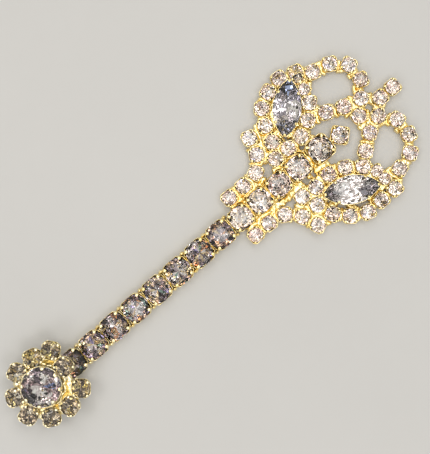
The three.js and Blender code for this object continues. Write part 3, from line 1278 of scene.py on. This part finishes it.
@dataclass
class StoneRow:
    """A straight row of cups, each with its own stone node."""

    stock: Stock
    name: str
    kinds: tuple[Kind, ...]
    # The palette of painted reflections on the row's foiled facets.
    foil: ReflectionPalette
    spin: float = 0.0
    slip: float = 0.0

    def seats(self) -> list[Seat]:
        """The row's cups: the last one turned by the spin, the one before it slipped forward."""
        spots = Layout.grounded(self.nodes())
        spots[-2].x += self.slip
        last = len(spots) - 1
        return [
            Seat(kind, Place(spot.x, spot.y, self.spin if number == last else 0.0))
            for number, (kind, spot) in enumerate(zip(self.kinds, spots))
        ]

    def nodes(self) -> list[str]:
        """The names of the row's stone nodes."""
        return [f"{self.name}_stone_{number + 1}" for number in range(len(self.kinds))]

    def build(self) -> list[Seat]:
        """Builds and delivers the row.

        Returns:
            Its cups.
        """
        seats = self.seats()
        cups = Bench.join(self.stock.cup_copies(seats))
        Bench.deliver(cups, f"{self.name}_cups", Slot.GOLD, f"{self.name}_settings")
        for number, (seat, node) in enumerate(zip(seats, self.nodes()), 1):
            crystal = self.stock.stone(seat, self.foil)
            Bench.deliver(crystal, f"{self.name}_crystal_{number}", Slot.STONE, node)
        return seats


# ---- The wings ----


@dataclass(frozen=True)
class WingPlan:
    """Where one wing's chains run, measured from the same origin as the cross."""

    name: str
    navette_turn: float
    ring_start: tuple[float, float]
    ring_pitch: float
    ring_links: tuple[float, ...]
    crowded: tuple[Place, ...]
    spur: tuple[float, float]
    shoulder_start: tuple[float, float]
    shoulder_pitch: float
    shoulder_links: tuple[float, ...]
    # The palettes of painted reflections on the navette's two halves, the heel's painted paler than
    # the tip's.
    reflection_palettes: tuple[ReflectionPalette, ReflectionPalette]


LEFT = WingPlan(
    name="left",
    navette_turn=44.0,
    ring_start=(43.8, 10.7),
    ring_pitch=4.45,
    ring_links=(225, 206, 182, 118, 72, 60, 28, 10, -20),
    crowded=(Place(45.1, 14.2, 100), Place(45.5, 17.0, 96)),
    spur=(28.0, 5.6),
    shoulder_start=(12.7, 5.8),
    shoulder_pitch=4.6,
    shoulder_links=(-1, 6, 46, 72),
    reflection_palettes=(ReflectionPalette.LEFT_HEEL, ReflectionPalette.LEFT_TIP),
)
RIGHT = WingPlan(
    name="right",
    navette_turn=-30.0,
    ring_start=(43.5, -10.5),
    ring_pitch=4.55,
    ring_links=(142, 161, 185, 232, 289, 313, 332, 0, 0),
    crowded=(Place(45.5, -13.6, 84), Place(45.75, -16.4, 88)),
    spur=(26.8, -6.1),
    shoulder_start=(11.6, -5.7),
    shoulder_pitch=4.5,
    shoulder_links=(0, -13, -47, -69),
    reflection_palettes=(ReflectionPalette.RIGHT_HEEL, ReflectionPalette.RIGHT_TIP),
)


@dataclass(frozen=True)
class FacetRow:
    """A row of facets along each bowed side of a navette."""

    shares: tuple[float, ...]  # how far along the side each one is, from -1 to 1
    slope: float  # as a share of the main slope of the crown or back
    height: float  # over the girdle on the crown
    back: bool


@dataclass(frozen=True)
class Navette:
    """A boat-shaped stone and its setting, along X."""

    length: float = 15.4
    width: float = 7.5
    stone_share: float = 0.97
    rim: float = 3.5
    neck: float = 2.9
    crown: float = 1.5
    depth: float = 2.6
    trim: float = 0.93
    girdle: float = 0.25
    wall: float = 0.2
    floor: float = 0.3
    neck_share: float = 0.8  # the neck's outline, as a share of the rim's
    rows: tuple[FacetRow, ...] = (
        FacetRow((-0.78, -0.26, 0.26, 0.78), 1.0, 0.0, False),
        FacetRow((-0.66, 0.0, 0.66), 1.0, 0.0, True),
        FacetRow((-0.5, 0.0, 0.5), 0.62, 0.42, False),
        FacetRow((-0.9, -0.36, 0.36, 0.9), 1.12, 0.0, True),
    )
    tip_slopes: tuple[float, float] = (0.8, 0.75)  # of crown and back, as shares of the main one
    claw: Claw = Claw(1.1, 0.34, 0.8, 0.8, 0.85)

    @property
    def bow(self) -> float:
        """The radius of the two bowed sides."""
        return (self.length ** 2 + self.width ** 2) / (4 * self.width)

    @property
    def sweep(self) -> float:
        """How far each bowed side turns from its middle to its blunted tip, in degrees."""
        return math.degrees(math.asin(self.length / 2 / self.bow)) * self.trim

    def edge(self, side: int, share: float, size: float = 1.0) -> tuple[Vector, Vector]:
        """A point on the outline.

        Args:
            side: 1 for the side towards +Y, -1 for the other.
            share: how far along the side, from -1 to 1.
            size: the outline's size, as a share of the setting's rim.

        Returns:
            The point and the direction outwards.
        """
        turn = math.radians(self.sweep * share)
        away = Vector((math.sin(turn), side * math.cos(turn), 0.0))
        centre = Vector((0.0, -side * (self.bow - self.width / 2), 0.0))
        return (centre + away * self.bow) * size, away

    def tip(self, end: int, size: float = 1.0) -> tuple[Vector, Vector]:
        """The blunted tip at one end, and the direction outwards."""
        corner, _ = self.edge(1, end, size)
        return Vector((corner.x, 0.0, 0.0)), Vector((end, 0.0, 0.0))

    def blank(self, size: float, low: float, high: float) -> Piece:
        """A block ground to the outline at a size, between two heights."""
        reach = self.length * size
        piece = Bench.block((reach, self.width * size, high - low), (0.0, 0.0, (low + high) / 2))
        with Bench.edit(piece):
            for side in (1, -1):
                for step in range(-4, 5):
                    Wheel.plane(*self.edge(side, step / 4.5, size))
                Wheel.plane(*self.tip(side, size))
            Polisher.clean()
        return piece

    def cut(self) -> Piece:
        """Cuts the stone: large facets all round a long table, over a keeled back."""
        size = self.stone_share
        stone = self.blank(size, -self.depth, self.crown)
        half = self.width * size / 2
        crown = math.atan2(self.crown - self.girdle, half * (1 - TABLE_SHARE))
        back = math.atan2(self.depth, half)
        tip_crown, tip_back = self.tip_slopes
        with Bench.edit(stone):
            for side in (1, -1):
                for row in self.rows:
                    slope = math.pi - back * row.slope if row.back else crown * row.slope
                    height = 0.0 if row.back else self.girdle + row.height
                    for share in row.shares:
                        self.grind(self.edge(side, share, size), slope, height)
                self.grind(self.tip(side, size), crown * tip_crown, self.girdle)
                self.grind(self.tip(side, size), math.pi - back * tip_back, 0.0)
            Polisher.clean()
        return Polisher.foil(stone)

    @staticmethod
    def grind(edge: tuple[Vector, Vector], slope: float, height: float) -> None:
        """Grinds a flat that passes through an edge point at a height, at a slope in radians."""
        point, away = edge
        lift = Vector((0.0, 0.0, height))
        normal = away * math.sin(slope) + Vector((0.0, 0.0, math.cos(slope)))
        Wheel.plane(point + lift, normal)

    def setting(self) -> Piece:
        """Makes the boat-shaped cup with six claws."""
        cup = self.blank(self.neck_share, 0.0, self.neck)
        with Bench.edit(cup):
            Bench.pick("faces", Bench.is_back)
            Bench.widen(0.95)
            bpy.ops.mesh.inset(thickness=0.9, depth=-0.2)
            Bench.pick("faces", Bench.is_top)
            Bench.extrude(z=self.rim - self.neck)
            Bench.widen(1 / self.neck_share)
            bpy.ops.mesh.inset(thickness=self.wall)
            Bench.extrude(z=self.floor - self.rim)
            Bench.widen(0.5)
        Bench.modify(cup, "BEVEL", width=0.07, segments=2, limit_method="ANGLE", angle_limit=SHARP)
        Bench.smooth(cup)
        claw = self.claw.forge()
        spots = [self.edge(side, share) for side in (1, -1) for share in (-0.5, 0.5)]
        spots += [self.tip(1), self.tip(-1)]
        claws = []
        for point, away in spots:
            turn = Matrix.Rotation(math.atan2(away.y, away.x), 4, "Z")
            claws.append(Bench.copy(claw, Matrix.Translation((point.x, point.y, self.rim)) @ turn))
        bpy.data.objects.remove(claw)
        return Bench.join([cup, *claws])


@dataclass
class Wing:
    """One half of the open head: a ringed navette, its shoulder chain and its loop."""

    stock: Stock
    plan: WingPlan
    shift: Vector
    navette: Navette
    loop_stones: int = 7

    # The navette's outline as five rounds: how far along it each one is, and its radius.
    ROUNDS = ((-5.4, 1.2), (-3.2, 2.5), (0.0, 3.4), (3.2, 2.5), (5.4, 1.2))

    def spots(self, start: tuple[float, float], pitch: float,
              links: Sequence[float]) -> list[Place]:
        """The turned places of one of the plan's chains, in the row frame."""
        return Layout.turned(Layout.walk(Vector(start) + self.shift, pitch, links))

    def build(self) -> list[Seat]:
        """Builds and delivers the wing.

        Returns:
            Its cups.
        """
        plan = self.plan
        ring = [Seat(Kind.SMALL, place) for place in
                self.spots(plan.ring_start, plan.ring_pitch, plan.ring_links)]
        spur = Seat(Kind.SMALL, Place(plan.spur[0] + self.shift.x, plan.spur[1] + self.shift.y))
        crowded = [
            Seat(Kind.LOW, Place(spot.x + self.shift.x, spot.y + self.shift.y, spot.turn))
            for spot in plan.crowded
        ]
        shoulder = [Seat(Kind.SMALL, place) for place in
                    self.spots(plan.shoulder_start, plan.shoulder_pitch, plan.shoulder_links)]
        self.chain("ring", [*ring, spur, *crowded], f"{plan.name}_navette_ring")
        self.chain("shoulder", shoulder, f"{plan.name}_shoulder_chain")
        loop = self.loop()
        self.navette_pieces()
        return [*ring, spur, *crowded, *shoulder, *loop]

    def chain(self, name: str, seats: Sequence[Seat], node: str) -> None:
        """Builds a chain whose stones are one piece."""
        cups = Bench.join(self.stock.cup_copies(seats))
        Bench.deliver(cups, f"{self.plan.name}_{name}_cups", Slot.GOLD, node)
        stones = Bench.join([self.stock.stone(seat, ReflectionPalette.HEAD) for seat in seats])
        Bench.deliver(stones, f"{self.plan.name}_{name}_crystals", Slot.STONE)

    def loop(self) -> list[Seat]:
        """Builds the loop, whose stones are each a node."""
        side = self.plan.name
        nodes = [f"{side}_loop_stone_{number + 1}" for number in range(self.loop_stones)]
        places = Layout.turned(Layout.grounded(nodes))
        seats = [Seat(Kind.SMALL, place) for place in places]
        cups = Bench.join(self.stock.cup_copies(seats))
        Bench.deliver(cups, f"{side}_loop_cups", Slot.GOLD, f"{side}_loop_settings")
        for number, (seat, node) in enumerate(zip(seats, nodes), 1):
            crystal = self.stock.stone(seat, ReflectionPalette.HEAD)
            Bench.deliver(crystal, f"{side}_loop_crystal_{number}", Slot.STONE, node)
        return seats

    def boat(self) -> list[Island]:
        """The navette's setting, as the islands that solder runs up against."""
        middle = Layout.middle(f"{self.plan.name}_navette_stone")
        turn = math.radians(self.plan.navette_turn)
        along = Vector((math.cos(turn), math.sin(turn)))
        return [
            Island(Vector((middle.x, middle.y)) + along * reach, 0.0, radius)
            for reach, radius in self.ROUNDS
        ]

    def navette_pieces(self) -> None:
        """Builds the navette and its setting."""
        side = self.plan.name
        middle = Layout.middle(f"{side}_navette_stone")
        place = Place(middle.x, middle.y, self.plan.navette_turn)
        setting = self.navette.setting()
        setting.matrix_world = place.matrix()
        Bench.settle(setting)
        Bench.dress(setting, self.stock.gold)
        Bench.deliver(setting, f"{side}_navette_cup", Slot.GOLD, f"{side}_navette_setting")
        master = self.navette.cut()
        Bench.dress(master, self.stock.glass, self.stock.foil)
        seat = place.lifted(self.navette.rim + 2 * SEAT_GAP)
        stone = self.stock.place_stone(master, seat, self.plan.reflection_palettes, 0.8)
        bpy.data.objects.remove(master)
        Bench.deliver(stone, f"{side}_navette_crystal", Slot.STONE, f"{side}_navette_stone")


# ---- The studio ----


@dataclass(frozen=True)
class Lamp:
    """A soft lamp that looks at the sceptre."""

    name: str
    spot: tuple[float, float, float]
    size: float
    power: float
    tone: Rgb = (1.0, 1.0, 1.0)

    def hang(self) -> None:
        """Hangs the lamp."""
        light = bpy.data.lights.new(self.name, "AREA")
        light.shape = "DISK"
        light.size = self.size
        light.energy = self.power
        light.color = self.tone
        lamp = bpy.data.objects.new(self.name, light)
        lamp.location = self.spot
        lamp.rotation_euler = (-Vector(self.spot)).to_track_quat("-Z", "Y").to_euler()
        lamp.visible_camera = False
        bpy.context.scene.collection.objects.link(lamp)


@dataclass(frozen=True)
class Studio:
    """The floor, the lamps and the camera."""

    floor_size: float = 6.0
    camera_spot: tuple[float, float, float] = (0.00458, 0.00249, 0.220)
    camera_turn: float = -41.0
    lens: float = 68.17
    sensor: float = 36.0
    dusk: Rgb = (0.66, 0.645, 0.61)
    lamps: tuple[Lamp, ...] = (
        Lamp("key", (-0.20, 0.26, 0.66), 0.34, 1.0, (1.0, 0.98, 0.94)),
        Lamp("fill", (0.34, 0.06, 0.64), 0.30, 0.8, (1.0, 0.98, 0.94)),
        Lamp("front", (0.02, -0.34, 0.64), 0.30, 0.8, (1.0, 0.98, 0.97)),
        Lamp("side", (-0.44, -0.16, 0.48), 0.26, 0.55, (1.0, 0.98, 0.95)),
        Lamp("back", (0.26, 0.44, 0.52), 0.26, 0.55, (1.0, 0.97, 0.92)),
        Lamp("crest", (0.05, 0.02, 0.85), 0.24, 0.5, (1.0, 1.0, 1.0)),
    )

    def build(self) -> None:
        """Lays the floor, lights it and stands the camera."""
        bpy.ops.mesh.primitive_plane_add(size=self.floor_size, location=(0.0, 0.0, 0.0))
        floor = bpy.context.object
        floor.name = "floor"
        Bench.settle(floor)
        Bench.dress(floor, StudioFloor().make())
        for lamp in self.lamps:
            lamp.hang()
        world = bpy.data.worlds.new("studio")
        world.use_nodes = True
        world.node_tree.nodes["Background"].inputs["Color"].default_value = (*self.dusk, 1.0)
        bpy.context.scene.world = world
        camera = bpy.data.cameras.new("camera")
        camera.lens = self.lens
        camera.sensor_width = self.sensor
        camera.clip_start = 0.01
        stand = bpy.data.objects.new("camera", camera)
        stand.location = self.camera_spot
        stand.rotation_euler = (0.0, 0.0, math.radians(self.camera_turn))
        bpy.context.scene.collection.objects.link(stand)
        bpy.context.scene.camera = stand
        bpy.context.scene.view_settings.view_transform = "Standard"


# ---- The sceptre ----


@dataclass
class Sceptre:
    """The whole sceptre, from the knob to the cross."""

    stock: Stock
    cross_origin: tuple[float, float] = (51.1, -0.15)
    seam: tuple[float, float] = (11.0, -4.1)
    seam_drops: int = 36
    seam_step: float = 0.5

    def build(self) -> None:
        """Builds every sub-assembly in order, and the solder between them."""
        stock = self.stock
        KnobFlower(stock).build()
        shaft = StoneRow(stock, "shaft", (Kind.SHAFT,) * 8, ReflectionPalette.SHAFT).build()
        column_kinds = (*(Kind.COLUMN,) * 4, Kind.COLUMN_END, Kind.FINIAL)
        column = StoneRow(stock, "column", column_kinds, ReflectionPalette.HEAD, 41.0, 0.9).build()
        cross = StoneRow(stock, "cross", (Kind.SMALL,) * 3, ReflectionPalette.HEAD).build()
        first = Layout.middle("cross_stone_1")
        shift = Vector((first.x - self.cross_origin[0], first.y - self.cross_origin[1]))
        head = [*column, *cross]
        islands = []
        for plan in (LEFT, RIGHT):
            wing = Wing(stock, plan, shift, Navette())
            head += wing.build()
            islands += wing.boat()
        islands += [
            Island.of(seat) for seat in head if seat.kind is not Kind.FINIAL
        ]
        solder = Solder()
        row = [*shaft, column[0]]
        welds = Solder.joints(row, 1.2) + Solder.welds(row, stock.luck)
        solder.pour("shaft_solder", welds, stock.gold)
        web = Web(tuple(islands)).drops(stock.luck)
        joints = Solder.joints(head, 1.1, 0.85) + Solder.joints(column[-3:], 2.0)
        joints += Solder.welds(column[:-1], stock.luck)
        solder.pour("head_solder", joints + web + self.seam_run(), stock.gold)

    def seam_run(self) -> list[Drop]:
        """The run of solder between the column and the right shoulder."""
        chance = self.stock.luck.uniform
        x, y = self.seam
        return [
            Drop(
                Place(x + self.seam_step * step, y + chance(-0.55, 0.55)),
                chance(1.1, 2.0),
                chance(0.5, 0.8),
                chance(0.5, 0.8),
            )
            for step in range(self.seam_drops)
        ]


def main() -> None:
    """Builds the sceptre and its studio."""
    logging.basicConfig(level=logging.INFO, format="%(name)s: %(message)s")
    stock = Stock(GoldPlate().make(), StoneGlass().make(), FoilMirror().make())
    Sceptre(stock).build()
    stock.clear()
    Studio().build()


if __name__ == "__main__":
    main()
